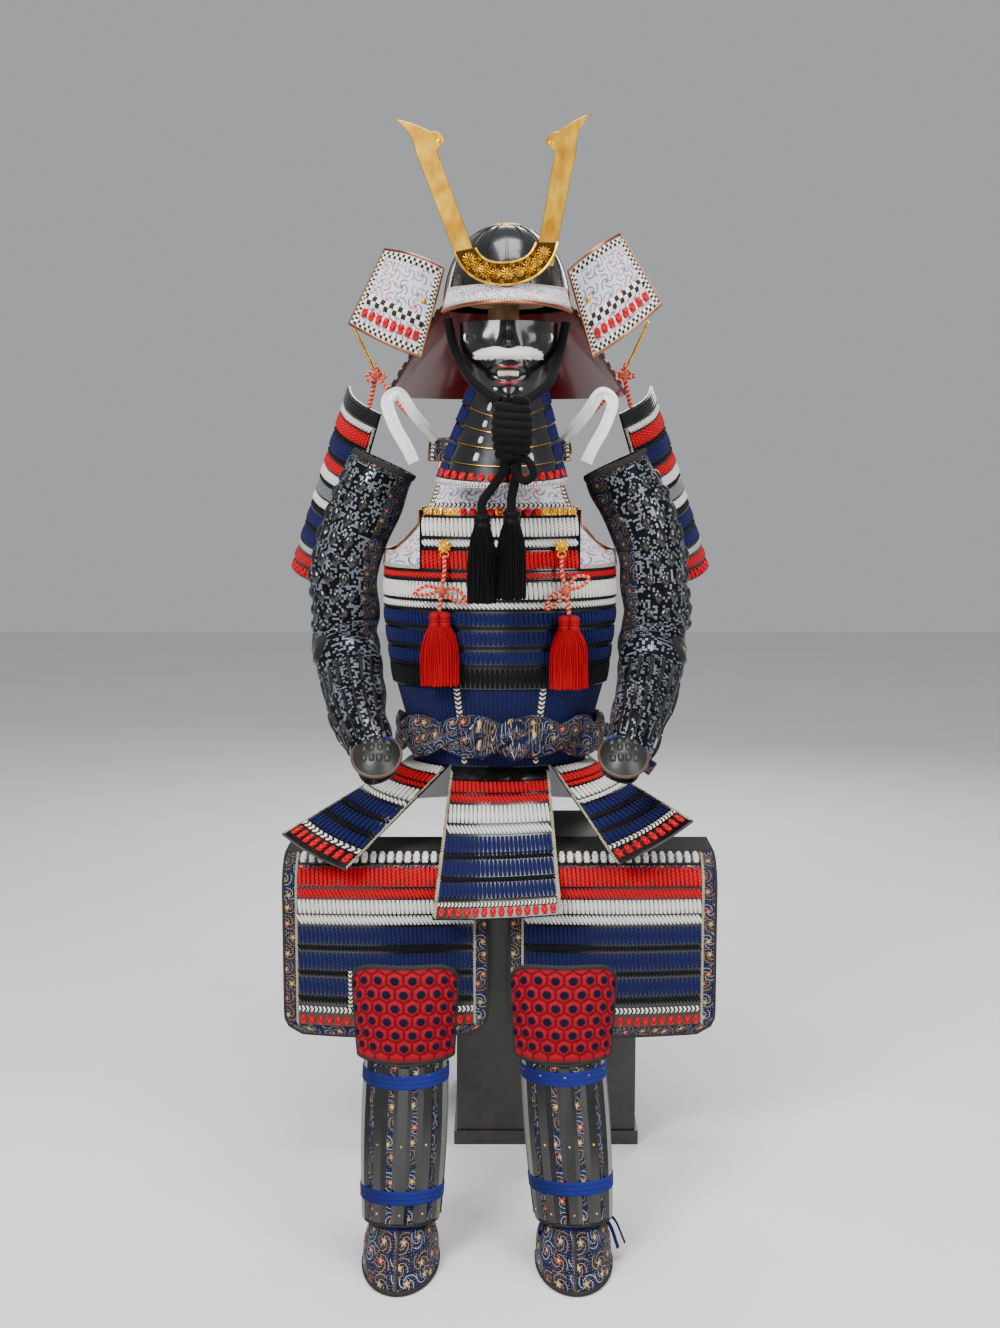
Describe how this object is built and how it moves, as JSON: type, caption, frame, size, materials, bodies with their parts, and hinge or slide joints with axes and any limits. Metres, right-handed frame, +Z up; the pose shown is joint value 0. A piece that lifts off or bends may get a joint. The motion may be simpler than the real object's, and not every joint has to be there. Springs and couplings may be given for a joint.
{
  "type": "samurai armour on its storage box and a plain limbless stand",
  "caption": "Samurai armour with red, white and navy lacing, gilt crest, mask, sleeves, thigh panels and shin guards, seated on its black storage box and plain wooden stand.",
  "frame": {"origin": "on the underside of the storage box, below the middle of the cuirass", "axes": "+Z up, -Y is the front of the suit, +X is the suit's left arm side"},
  "size_m": [0.785, 0.9413, 1.6855],
  "materials": {
    "lacquer": "gloss black lacquer",
    "lacing": "navy, white and red flat silk lacing",
    "scarlet": "scarlet silk",
    "brocade": "navy brocade with metal thread",
    "leather": "printed deerskin",
    "gold": "gold leaf",
    "braid": "black silk braid",
    "cotton": "white cotton",
    "wood": "plain planed wood",
    "black_wood": "black lacquered wood"
  },
  "bodies": {
    "root": {"helmet_bowl": "lacquer", "mask": "lacquer", "throat_guard": "lacquer", "hand_plate_left": "lacquer", "hand_plate_right": "lacquer", "shin_left": "lacquer", "shin_right": "lacquer", "neck_guard": "lacing", "cuirass_front": "lacing", "cuirass_back": "lacing", "lace_skirt": "lacing", "tasset_front": "lacing", "tasset_front_left": "lacing", "tasset_front_right": "lacing", "tasset_side_left": "lacing", "tasset_side_right": "lacing", "tasset_back_left": "lacing", "tasset_back_right": "lacing", "haidate_left": "lacing", "haidate_right": "lacing", "sode_left": "lacing", "sode_right": "lacing", "chest_bow_left": "scarlet", "chest_bow_right": "scarlet", "red_tassel_left": "scarlet", "red_tassel_right": "scarlet", "shoulder_toggle_left": "scarlet", "shoulder_toggle_right": "scarlet", "knee_left": "scarlet", "knee_right": "scarlet", "strap_left": "brocade", "strap_right": "brocade", "sash_wrap": "brocade", "sash_knot": "brocade", "sash_tail": "brocade", "sleeve_left": "brocade", "sleeve_right": "brocade", "foot_left": "brocade", "foot_right": "brocade", "helmet_peak": "leather", "turnback_left": "leather", "turnback_right": "leather", "chest_board": "leather", "back_board": "leather", "crest_base": "gold", "crest_horn_left": "gold", "crest_horn_right": "gold", "cord_knot": "braid", "chin_cord_left": "braid", "chin_cord_right": "braid", "cord_tail_left": "braid", "cord_tail_right": "braid", "black_tassel_left": "braid", "black_tassel_right": "braid", "moustache": "cotton", "shoulder_ribbon_left": "cotton", "shoulder_ribbon_right": "cotton", "stand": "wood", "box_body": "black_wood", "box_lid": "black_wood"}
  },
  "joints": []
}
